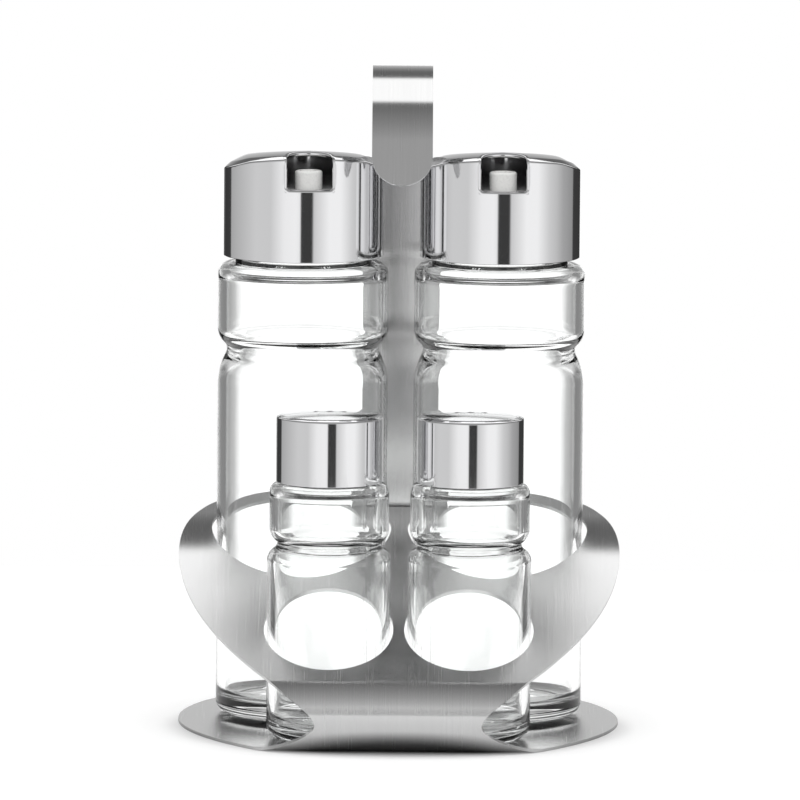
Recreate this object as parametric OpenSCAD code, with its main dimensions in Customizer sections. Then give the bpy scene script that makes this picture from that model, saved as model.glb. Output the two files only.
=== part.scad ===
/* [Stand] */
// Thickness of the steel sheet
sheet_t = 1.0; // [0.8:0.1:1.5]
// Width across the two round lobes
stand_w = 141.8; // [138:0.2:148]
// Distance over which the side curve would shrink to nothing, seen from above
bulge_len = 100.5; // [95:0.5:110]
// How far the widest place lies ahead of the bottle row
wide_ahead = 15.2; // [10:0.1:20]
// Radius of each lobe round its bottle
lobe_r = 37.5; // [36:0.1:40]
// Radius of the outer rear corners of the sheet
rear_corner_r = 35.2; // [33:0.1:36]

/* [Front fold] */
// Outer radius of the rolled front fold
fold_r = 12.45; // [11:0.05:14]
// Distance from the bottle row forward to the axis of the fold
fold_reach = 74.7; // [73:0.1:80]
// Narrowest width of the sheet, in the middle of the fold
neck_w = 52.8; // [48:0.2:60]
// Roundness of the notch on each side of the fold, as a share of its half span
notch_share = 0.28; // [0.05:0.01:0.4]
// How much the sides of the notch bulge out, as a share
flare_share = 0.4; // [0:0.05:0.6]

/* [Holder plate] */
// Slope of the front part of the plate, in degrees
plate_slope = 26.2; // [24:0.1:28]
// Slope of the rear part of the plate, in degrees
rear_slope = 10; // [8:0.1:14]
// Radius of the gentle curve between the two slopes
plate_curve_r = 119; // [90:1:130]
// Length of the straight sloped part, measured along the sheet
plate_run = 67; // [62:0.5:72]

/* [Handle] */
// Width of the handle strip
strip_w = 19.4; // [17:0.1:21]
// Distance from the bottle row back to the front face of the strip
strip_back = 21; // [19:0.1:22]
// Radius of the crease where the strip leaves the plate, at mid sheet
crease_r = 1.6; // [1:0.1:3]
// Height of the top of the handle above the table
handle_top = 209.8; // [205:0.1:215]
// Radius of the rear bend at the top
rear_bend_r = 10; // [7:0.5:12]
// Radius of the flat bow over the top
bow_r = 31; // [25:1:40]
// Slope of the front of the hook, in degrees
hook_slope = 28; // [20:1:35]
// Length of the straight sloped part of the hook
hook_run = 9.8; // [8:0.1:13]
// Radius of the front bend of the hook
front_bend_r = 9; // [7:0.5:12]
// Height of the lowest point of the lip above the table
lip_bottom = 173.5; // [170:0.5:180]

/* [Large bottles] */
// Distance between the two bottles, centre to centre
bottle_pitch = 63.3; // [62:0.1:66]
// Diameter of a bottle
bottle_d = 55; // [53:0.1:57]
// Thickness of the glass wall
glass_t = 2.8; // [2:0.1:3.5]
// Thickness of the glass floor
floor_t = 4.9; // [4:0.1:7]
// Radius of the rounded foot
foot_r = 3.6; // [2:0.1:5]
// Height of the waist above the foot
waist_z = 118; // [110:0.5:125]
// Depth of the waist groove
waist_depth = 2.9; // [2:0.1:4]
// Height of the long curve below the waist
waist_below = 11.4; // [8:0.1:14]
// Height of the short curve above the waist
waist_above = 6.7; // [5:0.1:9]
// Radius of the pinch at the bottom of the waist groove
pinch_r = 3; // [2:0.1:4]
// Extra thickness of the glass inside the waist
waist_swell = 1.5; // [0:0.1:3]
// Height of the flat shoulder above the foot
shoulder_z = 146.0; // [140:0.1:150]
// Radius of the shoulder edge
shoulder_r = 2.6; // [2:0.1:4]
// Outer diameter of the neck
neck_d = 44; // [42:0.1:45]
// Inner diameter of the neck
mouth_d = 39; // [34:0.1:39]
// Height of the rim of the neck above the foot
rim_z = 168.1; // [160:0.1:170]
// Depth of the hollow under the foot
punt_depth = 1.2; // [0.5:0.1:2]

/* [Large caps] */
// Diameter of a steel cap
cap_d = 51.8; // [50:0.1:53]
// Thickness of the steel of a cap
cap_t = 0.8; // [0.5:0.1:1.2]
// Height of the lower edge of a cap above the foot of its bottle
cap_edge_z = 148.4; // [147.5:0.1:150]
// Height of a cap to the highest line of its vaulted top
cap_h = 36; // [34:0.1:37]
// Radius of the wide arch of the top, which runs from front to back
vault_r = 110; // [90:1:140]
// Distance from the ridge to the place where the top starts to fall to the side
vault_side_x = 17.5; // [14:0.1:19]
// Radius of the bend from the arch to the slope at the side
vault_side_r = 7; // [3:0.1:8]
// Slope of the top at the side, in degrees
vault_side_slope = 36; // [25:1:40]
// Width of the pouring slot
slot_w = 14.4; // [12:0.1:16]
// Distance from the cap axis to the place where the sides of the slot turn round
slot_reach = 23.2; // [9:0.1:24]
// Length of the rounded end of the slot
slot_end_len = 7.2; // [7:0.1:13]
// Radius of the lower corners of the slot
slot_corner_r = 1; // [0.5:0.1:2]
// Height of the slot sill above the lower edge of the cap
sill_h = 23.5; // [22:0.1:25]
// Turn of the left slot from straight ahead, in degrees
left_slot_turn = 5; // [-10:1:10]
// Turn of the right slot from straight ahead, in degrees
right_slot_turn = 2; // [-10:1:10]
// Outer diameter of the white spout
spout_d = 8.8; // [7:0.1:9.5]
// Bore of the white spout
spout_bore_d = 5.0; // [4:0.1:6]
// Height of the spout above the deck that carries it
spout_h = 5.9; // [5:0.1:8]
// Distance from the cap axis to the spout
spout_reach = 19.6; // [18:0.1:20]
// Thickness of the plastic deck inside a cap
deck_t = 2.5; // [1.5:0.1:3]
// Depth of the threaded skirt below the deck
skirt_h = 11; // [9:0.5:14]
// Diameter of the feed hole under the spout
feed_d = 3.6; // [3:0.1:4]
// Distance from the cap axis to the feed hole
feed_reach = 17.1; // [16:0.1:18]
// Depth of the small chamber between the feed hole and the spout
chamber_h = 1; // [0.5:0.1:1.5]
// Diameter of the air hole in the deck
air_hole_d = 2.4; // [2:0.1:4]

/* [Shakers] */
// Distance between the two shakers, centre to centre
shaker_pitch = 44.65; // [44:0.05:47]
// Distance from the bottle row forward to the shaker row
shaker_ahead = 55; // [54:0.1:58]
// Diameter of the lower part of a shaker
shaker_d = 39.4; // [38:0.1:40.5]
// Diameter of the upper part of a shaker
shaker_top_d = 38; // [36:0.1:39]
// Thickness of the shaker wall
shaker_wall_t = 2.5; // [1.8:0.1:2.8]
// Thickness of the shaker floor
shaker_floor_t = 4; // [3:0.1:6]
// Radius of the rounded foot of a shaker
shaker_foot_r = 5; // [3:0.1:6]
// Height of the shaker waist above the foot
shaker_waist_z = 62.3; // [58:0.1:66]
// Depth of the shaker waist below its lower part
shaker_waist_depth = 3; // [2:0.1:4]
// Height of the curve below the shaker waist
shaker_waist_below = 5.2; // [4:0.1:8]
// Height of the curve above the shaker waist
shaker_waist_above = 4.8; // [4:0.1:7]
// Radius of the pinch at the bottom of the shaker waist
shaker_pinch_r = 1.6; // [1:0.1:2]
// Extra thickness of the glass inside the shaker waist
shaker_swell = 1.0; // [0:0.1:2]
// Height of the flat shoulder of a shaker
shaker_shoulder_z = 82; // [78:0.1:82]
// Radius of the shoulder edge of a shaker
shaker_shoulder_r = 1.9; // [1.5:0.1:3.5]
// Outer diameter of the shaker neck
shaker_neck_d = 28.6; // [27:0.1:29]
// Inner diameter of the shaker neck
shaker_mouth_d = 23.6; // [22:0.1:24.5]
// Height of the rim of the shaker neck above the foot
shaker_rim_z = 98.4; // [95:0.1:99]

/* [Shaker caps] */
// Diameter of a shaker cap
lid_d = 34; // [33:0.1:35]
// Thickness of the steel of a shaker cap
lid_t = 0.6; // [0.5:0.1:0.8]
// Height of the lower edge of a shaker cap above the foot of its jar
lid_edge_z = 82.3; // [82.2:0.1:84]
// Height of a shaker cap to the top of its slight crown
lid_h = 21.3; // [20:0.1:24]
// Radius of the slight crown of a shaker cap
lid_dome_r = 170; // [120:5:220]
// Radius of the edge of the top
lid_edge_r = 1.8; // [1:0.1:2.5]
// Diameter of a sprinkle hole
hole_d = 1.7; // [1.4:0.1:2.2]
// Spacing of the sprinkle holes, which stand in one row
hole_gap = 4.2; // [3.5:0.1:5]
// Thickness of the plastic deck ring inside a shaker cap
lid_deck_t = 1.2; // [1:0.1:2]
// Depth of the threaded skirt below the deck ring
lid_skirt_h = 9; // [8:0.5:11]

/* [Fits] */
// Gap between a bottle and its hole in the plate
bottle_gap = 1.5; // [1.2:0.1:2]
// Gap between a shaker and its hole in the plate
shaker_gap = 0.9; // [0.8:0.1:1.2]
// Gap left for the screw thread between a neck and its cap
thread_gap = 0.6; // [0.4:0.05:0.8]
// Gap between faces that rest on each other
rest_gap = 0.05; // [0.02:0.01:0.1]
// Thickness of a sealing ring
seal_t = 1.2; // [0.8:0.1:2]
// Step that a sealing ring stays inside the edge of its rim
seal_step = 0.3; // [0.2:0.1:0.5]
// Relief on each side of the handle strip where it leaves the plate
relief_gap = 0.6; // [0.4:0.1:1]

/* [Hidden] */
$fn = 96;
arc_step = 5;
plan_step = 4;
cut_over = 1;
fold_parts = 5;
trim_steps = 6;

stand_d = lobe_r + fold_reach + fold_r;
bottle_y = stand_d / 2 - lobe_r;
shaker_y = bottle_y - shaker_ahead;
fold_y = bottle_y - fold_reach;
wide_y = bottle_y - wide_ahead;
fold_turn = 180 - plate_slope;
foot_z = sheet_t + rest_gap;

bottle_r = bottle_d / 2;
cap_r = cap_d / 2;
cap_in_r = cap_r - cap_t;
cap_top_z = cap_edge_z + cap_h;
seal_z = rim_z + rest_gap;
deck_under_z = seal_z + seal_t + rest_gap;
deck_z = deck_under_z + deck_t;
lid_r = lid_d / 2;
lid_in_r = lid_r - lid_t;
lid_top_z = lid_edge_z + lid_h;
lid_seal_z = shaker_rim_z + rest_gap;
lid_deck_under_z = lid_seal_z + seal_t + rest_gap;
lid_deck_z = lid_deck_under_z + lid_deck_t;

steel = [0.78, 0.78, 0.79];
chrome = [0.88, 0.88, 0.90];
glass = [0.85, 0.90, 0.92, 0.45];
grey_plastic = [0.33, 0.33, 0.35];
white_plastic = [0.95, 0.95, 0.94];
seal_white = [0.85, 0.85, 0.83];

// Half width of the sheet outline seen from above, at place y
function half_w(y) = stand_w / 2 * (1 - pow((y - wide_y) / bulge_len, 2));

// A step of a bent path in the (y, z) plane: a list of [length, turn] pieces, from p with heading a
function path_step(p, a, len, turn) =
    turn == 0
        ? [p[0] + len * cos(a), p[1] + len * sin(a)]
        : let (r = len / (turn * PI / 180))
            [p[0] + r * (sin(a + turn) - sin(a)), p[1] - r * (cos(a + turn) - cos(a))];
function piece_points(p, a, len, turn) =
    let (n = max(1, ceil(abs(turn) / arc_step)))
        [for (i = [1:n]) concat(path_step(p, a, len * i / n, turn * i / n), [a + turn * i / n])];
function bent_path(p, a, pieces, i = 0) =
    i == len(pieces)
        ? []
        : let (
            pts = piece_points(p, a, pieces[i][0], pieces[i][1]),
            last = pts[len(pts) - 1]
        ) concat(pts, bent_path([last[0], last[1]], last[2], pieces, i + 1));
function arc_len(r, turn) = r * turn * PI / 180;

// Points of a path moved sideways by d, to the left of its heading
function beside(path, d) = [for (q = path) [q[0] - d * sin(q[2]), q[1] + d * cos(q[2])]];
function backwards(pts) = [for (i = [len(pts) - 1:-1:0]) pts[i]];

// Sheet of width w that follows a path in the (y, z) plane, centred on x = 0
module bent_sheet(path, w) {
    rotate([90, 0, 90])
        translate([0, 0, -w / 2])
            linear_extrude(w)
                polygon(concat(beside(path, sheet_t / 2), backwards(beside(path, -sheet_t / 2))));
}

// End of the fold, where the holder plate starts, at mid sheet
fold_mid_r = fold_r - sheet_t / 2;
plate_start = [
    fold_y - fold_mid_r * sin(fold_turn),
    fold_r - fold_mid_r * cos(fold_turn),
];
plate_bend = plate_slope - rear_slope;
plate_path = concat(
    [[plate_start[0], plate_start[1], plate_slope]],
    bent_path(plate_start, plate_slope, [
        [plate_run, 0],
        [arc_len(plate_curve_r, plate_bend), -plate_bend],
        [stand_d / 2, 0],
    ])
);

// Mid sheet height of the rear part of the plate at place y
plate_knee = plate_path[len(plate_path) - 2];
function rear_plate_z(y) = plate_knee[1] + (y - plate_knee[0]) * tan(rear_slope);

crease_turn = 90 - rear_slope;
strip_mid_y = bottle_y + strip_back + sheet_t / 2;
crease_start_y = strip_mid_y - crease_r * (1 - sin(rear_slope));
crease_start = [crease_start_y, rear_plate_z(crease_start_y)];
crease_rise = crease_r * cos(rear_slope);
strip_len = handle_top - sheet_t / 2 - rear_bend_r - crease_start[1] - crease_rise;
hook_end_z = handle_top - sheet_t / 2 - bow_r * (1 - cos(hook_slope)) - hook_run * sin(hook_slope)
    - front_bend_r * cos(hook_slope);
lip_len = hook_end_z - lip_bottom;
handle_path = concat(
    [[crease_start[0], crease_start[1], rear_slope]],
    bent_path(crease_start, rear_slope, [
        [arc_len(crease_r, crease_turn), crease_turn],
        [strip_len, 0],
        [arc_len(rear_bend_r, 90), 90],
        [arc_len(bow_r, hook_slope), hook_slope],
        [hook_run, 0],
        [arc_len(front_bend_r, 90 - hook_slope), 90 - hook_slope],
        [lip_len, 0],
    ])
);

// Half width of the fold at turn a: it narrows to the neck in a rounded notch
function notch_shape(t) =
    let (h = (sqrt(t * t + pow(notch_share, 2)) - notch_share)
        / (sqrt(1 + pow(notch_share, 2)) - notch_share))
        h * (1 + flare_share * (1 - h));
function fold_half_w(a) =
    let (
        t = abs(2 * a / fold_turn - 1),
        end_w = a < fold_turn / 2 ? half_w(fold_y) : half_w(plate_start[0])
    ) neck_w / 2 + (end_w - neck_w / 2) * notch_shape(t);

// Outline of the base and of the plate seen from above: side curves that run into two lobes
module plan_outline(front_y) {
    ys = [for (y = [front_y:plan_step:bottle_y + lobe_r + plan_step]) y];
    intersection() {
        polygon(concat(
            [for (y = ys) [half_w(y), y]],
            [for (y = backwards(ys)) [-half_w(y), y]]
        ));
        union() {
            translate([-stand_w / 2, front_y])
                square([stand_w, bottle_y + lobe_r / 2 - front_y]);
            for (side = [-1, 1])
                translate([side * bottle_pitch / 2, bottle_y]) {
                    translate([0, lobe_r - rear_corner_r])
                        circle(rear_corner_r);
                    intersection() {
                        circle(lobe_r);
                        translate([-(side + 1) / 2 * lobe_r, -lobe_r])
                            square([lobe_r, 2 * lobe_r]);
                    }
                }
        }
    }
}

module stand_base() {
    color(steel)
        linear_extrude(sheet_t)
            plan_outline(fold_y);
}

// One side of the notch over a part of the fold, cut square to the sheet there
module notch_cut(from_turn, to_turn) {
    mid = (from_turn + to_turn) / 2;
    half = (to_turn - from_turn) / 2;
    edge = [for (i = [-trim_steps - 1:trim_steps + 1])
        let (a = half * i / trim_steps)
            [fold_half_w(mid + a), fold_mid_r * sin(a)]];
    rotate([180 - mid, 0, 0])
        translate([0, 0, fold_r / 2])
            linear_extrude(fold_r)
                polygon(concat(edge, [
                    [stand_w, edge[len(edge) - 1][1]],
                    [stand_w, edge[0][1]],
                ]));
}

// Rolled fold: a true round bend of the sheet with a notch trimmed into each side
module stand_front_fold() {
    part_turn = fold_turn / fold_parts;
    color(steel)
        translate([0, fold_y, fold_r])
            difference() {
                rotate([90, 0, 90])
                    linear_extrude(stand_w, center = true)
                        intersection() {
                            difference() {
                                circle(fold_r);
                                circle(fold_r - sheet_t);
                            }
                            polygon(concat([[0, 0]], [for (i = [0:fold_parts])
                                let (a = 270 - part_turn * i)
                                    [stand_w * cos(a), stand_w * sin(a)]]));
                        }
                for (k = [0:fold_parts - 1], side = [0, 1])
                    mirror([side, 0, 0])
                        notch_cut(part_turn * k, part_turn * (k + 1));
            }
}

module stand_holder_plate() {
    hole_top = handle_top;
    color(steel)
        difference() {
            intersection() {
                bent_sheet(plate_path, stand_w);
                linear_extrude(hole_top)
                    plan_outline(plate_start[0] - fold_r);
            }
            for (side = [-1, 1]) {
                translate([side * bottle_pitch / 2, bottle_y])
                    cylinder(hole_top, r = bottle_r + bottle_gap);
                translate([side * shaker_pitch / 2, shaker_y])
                    cylinder(hole_top, r = shaker_d / 2 + shaker_gap);
            }
            relief_w = strip_w + 2 * relief_gap;
            translate([-relief_w / 2, crease_start_y])
                cube([relief_w, lobe_r, hole_top]);
        }
}

// Strip, top hook and lip with a round end
module stand_handle() {
    lip_r = strip_w / 2;
    color(steel)
        difference() {
            bent_sheet(handle_path, strip_w);
            translate([0, bottle_y, 0])
                rotate([90, 0, 0])
                    linear_extrude(fold_reach)
                        difference() {
                            translate([-strip_w, 0])
                                square([2 * strip_w, lip_bottom + lip_r]);
                            translate([0, lip_bottom + lip_r])
                                circle(lip_r);
                        }
        }
}

// Points of a quarter-round edge from angle a0 to a1, centred at (r, z)
function edge_points(r, z, radius, a0, a1) =
    let (n = ceil(abs(a1 - a0) / (2 * arc_step)))
        [for (i = [0:n]) let (a = a0 + (a1 - a0) * i / n)
            [r + radius * cos(a), z + radius * sin(a)]];

// One side of a waist groove: an outward curve from (r, z) that runs into the small pinch
// at (waist_r, waist); up is 1 where the waist lies above z and -1 where it lies below
function groove_points(r, z, waist_r, waist, pinch, up) =
    let (
        turn = 2 * atan((r - waist_r) / abs(waist - z)),
        bend = abs(waist - z) / sin(turn) - pinch,
        n = ceil(turn / arc_step)
    ) concat(
        [for (i = [0:n]) let (a = turn * i / n)
            [r - bend + bend * cos(a), z + up * bend * sin(a)]],
        [for (i = [1:n]) let (a = turn * (1 - i / n))
            [waist_r + pinch - pinch * cos(a), waist - up * pinch * sin(a)]]
    );

// Glass vessel of revolution: dims are named below in the same order
module glass_vessel(r_low, r_up, wall, floor, foot, waist, depth, below, above, pinch, swell,
                    shoulder, edge, neck_r, mouth_r, rim, punt) {
    waist_r = r_low - depth;
    in_low = r_low - wall;
    in_up = r_up - wall;
    in_waist = waist_r - wall - swell;
    outer = concat(
        [[0, punt], [r_low - 2 * foot, 0]],
        edge_points(r_low - foot, foot, foot, -90, 0),
        groove_points(r_low, waist - below, waist_r, waist, pinch, 1),
        backwards(groove_points(r_up, waist + above, waist_r, waist, pinch, -1)),
        edge_points(r_up - edge, shoulder - edge, edge, 0, 90),
        [[neck_r, shoulder], [neck_r, rim]]
    );
    inner = concat(
        [[mouth_r, rim], [mouth_r, shoulder]],
        edge_points(in_up - edge / 2, shoulder - wall - edge / 2, edge / 2, 90, 0),
        groove_points(in_up, waist + above, in_waist, waist, pinch, -1),
        backwards(groove_points(in_low, waist - below, in_waist, waist, pinch, 1)),
        edge_points(in_low - foot, floor + foot, foot, 0, -90),
        [[0, floor]]
    );
    rotate_extrude()
        polygon(concat(outer, inner));
}

module large_bottle() {
    color(glass)
        glass_vessel(bottle_r, bottle_r, glass_t, floor_t, foot_r, waist_z, waist_depth,
                     waist_below, waist_above, pinch_r, waist_swell, shoulder_z, shoulder_r,
                     neck_d / 2, mouth_d / 2, rim_z, punt_depth);
}

module shaker_jar() {
    color(glass)
        glass_vessel(shaker_d / 2, shaker_top_d / 2, shaker_wall_t, shaker_floor_t, shaker_foot_r,
                     shaker_waist_z, shaker_waist_depth, shaker_waist_below,
                     shaker_waist_above, shaker_pinch_r, shaker_swell,
                     shaker_shoulder_z, shaker_shoulder_r,
                     shaker_neck_d / 2, shaker_mouth_d / 2, shaker_rim_z, punt_depth);
}

// Flat ring that lies on the rim of a neck
module seal_ring(z, outer_d, inner_d) {
    color(seal_white)
        translate([0, 0, z])
            difference() {
                cylinder(seal_t, d = outer_d - 2 * seal_step);
                translate([0, 0, -cut_over])
                    cylinder(seal_t + 2 * cut_over, d = inner_d + 2 * seal_step);
            }
}

module bottle_seal() {
    seal_ring(seal_z, neck_d, mouth_d);
}

module shaker_seal() {
    seal_ring(lid_seal_z, shaker_neck_d, shaker_mouth_d);
}

// Right half of the top of a cap seen from the front, inside the outer line by shrink: a wide
// arch, a bend and a slope down to the side
function vault_points(shrink) =
    let (
        turn = asin(vault_side_x / vault_r),
        arch_z = cap_top_z - vault_r,
        bend_x = (vault_r - vault_side_r) * sin(turn),
        bend_z = arch_z + (vault_r - vault_side_r) * cos(turn),
        arch_n = 2 * ceil(turn / arc_step),
        bend_n = ceil((vault_side_slope - turn) / arc_step)
    ) concat(
        [for (i = [0:arch_n]) let (a = turn * i / arch_n)
            [(vault_r - shrink) * sin(a), arch_z + (vault_r - shrink) * cos(a)]],
        [for (i = [1:bend_n]) let (a = turn + (vault_side_slope - turn) * i / bend_n)
            [bend_x + (vault_side_r - shrink) * sin(a),
             bend_z + (vault_side_r - shrink) * cos(a)]],
        [[bend_x + (vault_side_r - shrink) * sin(vault_side_slope)
              + cap_r * cos(vault_side_slope),
          bend_z + (vault_side_r - shrink) * cos(vault_side_slope)
              - cap_r * sin(vault_side_slope)]]
    );

// Solid under the vaulted top, smaller than the shell by shrink
module vault_body(shrink) {
    right = vault_points(shrink);
    left = [for (p = backwards(right)) [-p[0], p[1]]];
    low_z = cap_edge_z - 2 * cut_over;
    intersection() {
        translate([0, 0, cap_edge_z - cut_over])
            cylinder(cap_h + 2 * cut_over, r = cap_r - shrink);
        translate([0, cap_d, 0])
            rotate([90, 0, 0])
                linear_extrude(2 * cap_d)
                    polygon(concat(left, right, [[cap_d, low_z], [-cap_d, low_z]]));
    }
}

// Outline of the pouring slot seen from above, open to the front, with a long round end
module slot_outline() {
    round_end = [for (a = [0:arc_step:180])
        [slot_w / 2 * cos(a), slot_end_len * sin(a) - slot_reach]];
    polygon(concat([[-slot_w / 2, -cap_d], [slot_w / 2, -cap_d]], round_end));
}

// Outline of the pouring slot seen from the front, with small lower corners
module slot_front() {
    corner_x = slot_w / 2 - slot_corner_r;
    translate([0, cap_edge_z + sill_h])
        polygon(concat(
            edge_points(corner_x, slot_corner_r, slot_corner_r, -90, 0),
            [[slot_w / 2, cap_h], [-slot_w / 2, cap_h]],
            edge_points(-corner_x, slot_corner_r, slot_corner_r, 180, 270)
        ));
}

module cap_shell() {
    color(chrome)
        difference() {
            intersection() {
                vault_body(0);
                translate([0, 0, cap_edge_z])
                    cylinder(cap_h, r = cap_d);
            }
            vault_body(cap_t);
            intersection() {
                translate([0, 0, cap_edge_z])
                    linear_extrude(2 * cap_h)
                        slot_outline();
                translate([0, cap_r, 0])
                    rotate([90, 0, 0])
                        linear_extrude(cap_d)
                            slot_front();
            }
        }
}

// Plastic deck with its threaded skirt; the spout hole and the air hole go through the deck
module cap_insert() {
    skirt_z = deck_under_z - skirt_h;
    color(grey_plastic)
        difference() {
            translate([0, 0, skirt_z])
                cylinder(deck_z - skirt_z, r = cap_in_r - rest_gap);
            translate([0, 0, skirt_z - cut_over])
                cylinder(skirt_h + cut_over, r = neck_d / 2 + thread_gap);
            translate([0, -feed_reach, skirt_z])
                cylinder(cap_h, d = feed_d);
            translate([0, -spout_reach, deck_z - chamber_h])
                cylinder(cap_h, d = (spout_d + spout_bore_d) / 2);
            translate([0, mouth_d / 4, skirt_z])
                cylinder(cap_h, d = air_hole_d);
        }
}

module pour_spout() {
    color(white_plastic)
        translate([0, -spout_reach, deck_z])
            difference() {
                cylinder(spout_h, d = spout_d);
                translate([0, 0, -cut_over])
                    cylinder(spout_h + 2 * cut_over, d = spout_bore_d);
            }
}

// Shaker cap with a row of sprinkle holes across its slightly crowned top
module lid_shell() {
    function lid_profile(r, top, edge) =
        let (
            dome = lid_dome_r - (lid_r - r),
            c = top - dome,
            a = acos((r - edge) / (dome - edge)),
            rim = [r - edge, c + (dome - edge) * sin(a)]
        ) concat(
            [[0, lid_edge_z], [r, lid_edge_z]],
            edge_points(rim[0], rim[1], edge, 0, a),
            [for (i = [1:12]) let (b = a + (90 - a) * i / 12) [dome * cos(b), c + dome * sin(b)]]
        );
    color(chrome)
        difference() {
            rotate_extrude()
                difference() {
                    polygon(lid_profile(lid_r, lid_top_z, lid_edge_r));
                    translate([0, -cut_over])
                        square([lid_in_r, cut_over + lid_edge_z + cut_over]);
                    polygon(lid_profile(lid_in_r, lid_top_z - lid_t, lid_edge_r - lid_t));
                }
            for (k = [-1, 0, 1])
                translate([k * hole_gap, 0, lid_edge_z + lid_h / 2])
                    cylinder(lid_h, d = hole_d, $fn = 32);
        }
}

module lid_insert() {
    skirt_z = lid_deck_under_z - lid_skirt_h;
    color(grey_plastic)
        difference() {
            translate([0, 0, skirt_z])
                cylinder(lid_deck_z - skirt_z, r = lid_in_r - rest_gap);
            translate([0, 0, skirt_z - cut_over])
                cylinder(lid_skirt_h + cut_over, r = shaker_neck_d / 2 + thread_gap);
            translate([0, 0, skirt_z])
                cylinder(lid_h, d = shaker_mouth_d);
        }
}

// Places of the four vessels: left and right of each row, standing on the base
module at_bottle(side) {
    translate([side * bottle_pitch / 2, bottle_y, foot_z])
        children();
}
module at_cap(side) {
    at_bottle(side)
        rotate([0, 0, side < 0 ? left_slot_turn : right_slot_turn])
            children();
}
module at_shaker(side) {
    translate([side * shaker_pitch / 2, shaker_y, foot_z])
        children();
}

stand_base();
stand_front_fold();
stand_holder_plate();
stand_handle();
at_bottle(-1) large_bottle();  // oil_bottle
at_bottle(-1) bottle_seal();  // oil_seal_ring
at_cap(-1) cap_insert();  // oil_cap_insert
at_cap(-1) pour_spout();  // oil_pour_spout
at_cap(-1) cap_shell();  // oil_cap_shell
at_bottle(1) large_bottle();  // vinegar_bottle
at_bottle(1) bottle_seal();  // vinegar_seal_ring
at_cap(1) cap_insert();  // vinegar_cap_insert
at_cap(1) pour_spout();  // vinegar_pour_spout
at_cap(1) cap_shell();  // vinegar_cap_shell
at_shaker(-1) shaker_jar();  // salt_jar
at_shaker(-1) shaker_seal();  // salt_seal_ring
at_shaker(-1) lid_insert();  // salt_cap_insert
at_shaker(-1) lid_shell();  // salt_cap_shell
at_shaker(1) shaker_jar();  // pepper_jar
at_shaker(1) shaker_seal();  // pepper_seal_ring
at_shaker(1) lid_insert();  // pepper_cap_insert
at_shaker(1) lid_shell();  // pepper_cap_shell
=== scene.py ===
"""A cruet set: a stand folded from one brushed steel sheet, two glass pouring bottles with
polished steel caps, and two small glass shakers with steel sprinkle caps.

Lengths are in millimetres, and MM turns them into the scene's metres. The front is -Y.
"""
import math

import bmesh
import bpy
from mathutils import Matrix, Vector


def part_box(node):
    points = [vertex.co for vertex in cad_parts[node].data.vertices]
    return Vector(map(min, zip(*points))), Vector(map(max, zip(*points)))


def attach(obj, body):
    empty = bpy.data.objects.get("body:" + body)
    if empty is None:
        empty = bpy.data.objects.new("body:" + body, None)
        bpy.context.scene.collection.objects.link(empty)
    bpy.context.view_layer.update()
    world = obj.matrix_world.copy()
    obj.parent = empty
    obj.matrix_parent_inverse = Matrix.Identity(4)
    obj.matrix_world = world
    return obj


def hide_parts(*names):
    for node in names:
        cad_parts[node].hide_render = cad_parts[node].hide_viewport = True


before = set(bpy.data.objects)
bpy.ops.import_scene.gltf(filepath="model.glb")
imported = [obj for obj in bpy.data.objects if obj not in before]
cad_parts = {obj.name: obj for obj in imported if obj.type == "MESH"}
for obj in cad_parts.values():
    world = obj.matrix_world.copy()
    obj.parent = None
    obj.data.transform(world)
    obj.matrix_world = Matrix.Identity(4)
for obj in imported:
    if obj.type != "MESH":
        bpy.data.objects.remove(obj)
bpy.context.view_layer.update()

MM = 0.001


def place_of(name):
    """Where a solid of the frame stands: the centre of its box in x and y, its lowest and its
    highest z, in millimetres."""
    low, high = [[v / MM for v in corner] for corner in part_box(name)]
    return (round((low[0] + high[0]) / 2, 3), round((low[1] + high[1]) / 2, 3),
            round(low[2], 3), round(high[2], 3))


# Places taken from the frame
BOTTLE_X, BOTTLE_Y, FOOT_Z, _ = place_of("vinegar_bottle")
JAR_X, JAR_Y, _, _ = place_of("pepper_seal_ring")
_, _, CAP_EDGE_Z, CAP_TOP_Z = place_of("vinegar_cap_shell")
_, _, _, HANDLE_TOP = place_of("stand_handle")
SIDE = {"oil": -1, "vinegar": 1, "salt": -1, "pepper": 1}

# Sizes of the folded sheet. Its plan bulges to the full width at WIDE_Y, and narrows to the
# neck of the rolled fold. Slopes are in degrees.
SHEET_T = 1.0
STAND_W = 141.8
BULGE_LEN, WIDE_Y = 100.5, BOTTLE_Y - 15.2
LOBE_R, CORNER_R = 37.5, 35.2
CORNER_START, VALLEY_TRIM = 26, 3
FOLD_R, FOLD_Y = 12.45, BOTTLE_Y - 74.7
NECK_W = 52.8
NOTCH_SHARE, FLARE_SHARE = 0.28, 0.4
PLATE_SLOPE, REAR_SLOPE = 26.2, 10.0
PLATE_RUN, PLATE_CURVE_R = 67.0, 119.0
BOTTLE_HOLE_R, JAR_HOLE_R = 29.0, 20.6
STRIP_W, STRIP_Y = 19.4, BOTTLE_Y + 21.5
RELIEF = 0.6
CREASE_R, REAR_BEND_R, BOW_R = 1.6, 10.0, 31.0
HOOK_SLOPE, HOOK_RUN = 28.0, 9.8
LIP_BEND_R, LIP_SLOPE = 27.0, 64.0
LIP_BOTTOM = 175.1

# Sizes of the glass necks: radius, height of the lowest thread, its pitch and its turns
BOTTLE_NECK = (22.0, 157.4, 3.5, 2.2)
JAR_NECK = (14.3, 90.6, 3.0, 1.8)

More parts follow.
